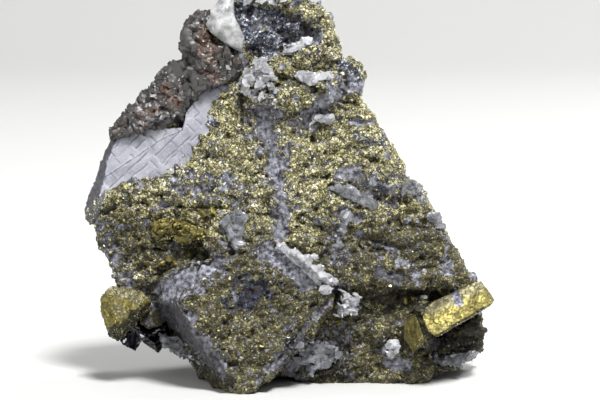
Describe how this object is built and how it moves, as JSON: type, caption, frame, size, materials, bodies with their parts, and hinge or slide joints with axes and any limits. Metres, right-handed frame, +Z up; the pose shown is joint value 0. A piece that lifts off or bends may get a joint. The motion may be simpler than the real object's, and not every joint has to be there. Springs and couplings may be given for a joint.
{
  "type": "chalcopyrite specimen",
  "caption": "Upright hand specimen of chalcopyrite crusted on galena, with brassy crystals, bare galena, sphalerite and white calcite, flat on its base.",
  "frame": {"origin": "middle of the specimen's box, on the surface it stands on", "axes": "+X to the right of its best side, +Y to its back, +Z up; the best side faces -Y"},
  "size_m": [0.1238, 0.0606, 0.1182],
  "materials": {
    "chalcopyrite_crust": "sparkling druse of small brassy crystals over grey galena",
    "chalcopyrite": "brassy metallic crystal faces",
    "galena": "lead-grey metallic cleavage",
    "galena_dark": "dark shiny metallic cubes",
    "sphalerite": "brown-black resinous, rust stained",
    "calcite": "milky white, slightly translucent"
  },
  "bodies": {
    "root": {"crusted_rock": "chalcopyrite_crust", "galena_cleavage_block": "galena", "galena_cubes_foot": "galena_dark", "sphalerite_mass": "sphalerite", "chalcopyrite_crystal_left": "chalcopyrite", "chalcopyrite_crystal_right": "chalcopyrite", "chalcopyrite_crystal_inner": "chalcopyrite", "chalcopyrite_lumps_middle": "chalcopyrite", "calcite_summit_crystal": "calcite", "calcite_wedge_summit": "calcite", "calcite_cluster_upper": "calcite", "calcite_plate_upper": "calcite", "calcite_flake_right": "calcite", "calcite_vein_left": "calcite", "calcite_ribbon": "calcite", "calcite_rosette": "calcite", "calcite_hollow_crystals": "calcite", "calcite_streak_right": "calcite", "calcite_edge_chip": "calcite", "calcite_edge_knob": "calcite", "calcite_cluster_base": "calcite", "calcite_crystal_lower_right": "calcite", "calcite_left_foot": "calcite", "calcite_right_foot": "calcite"}
  },
  "joints": []
}
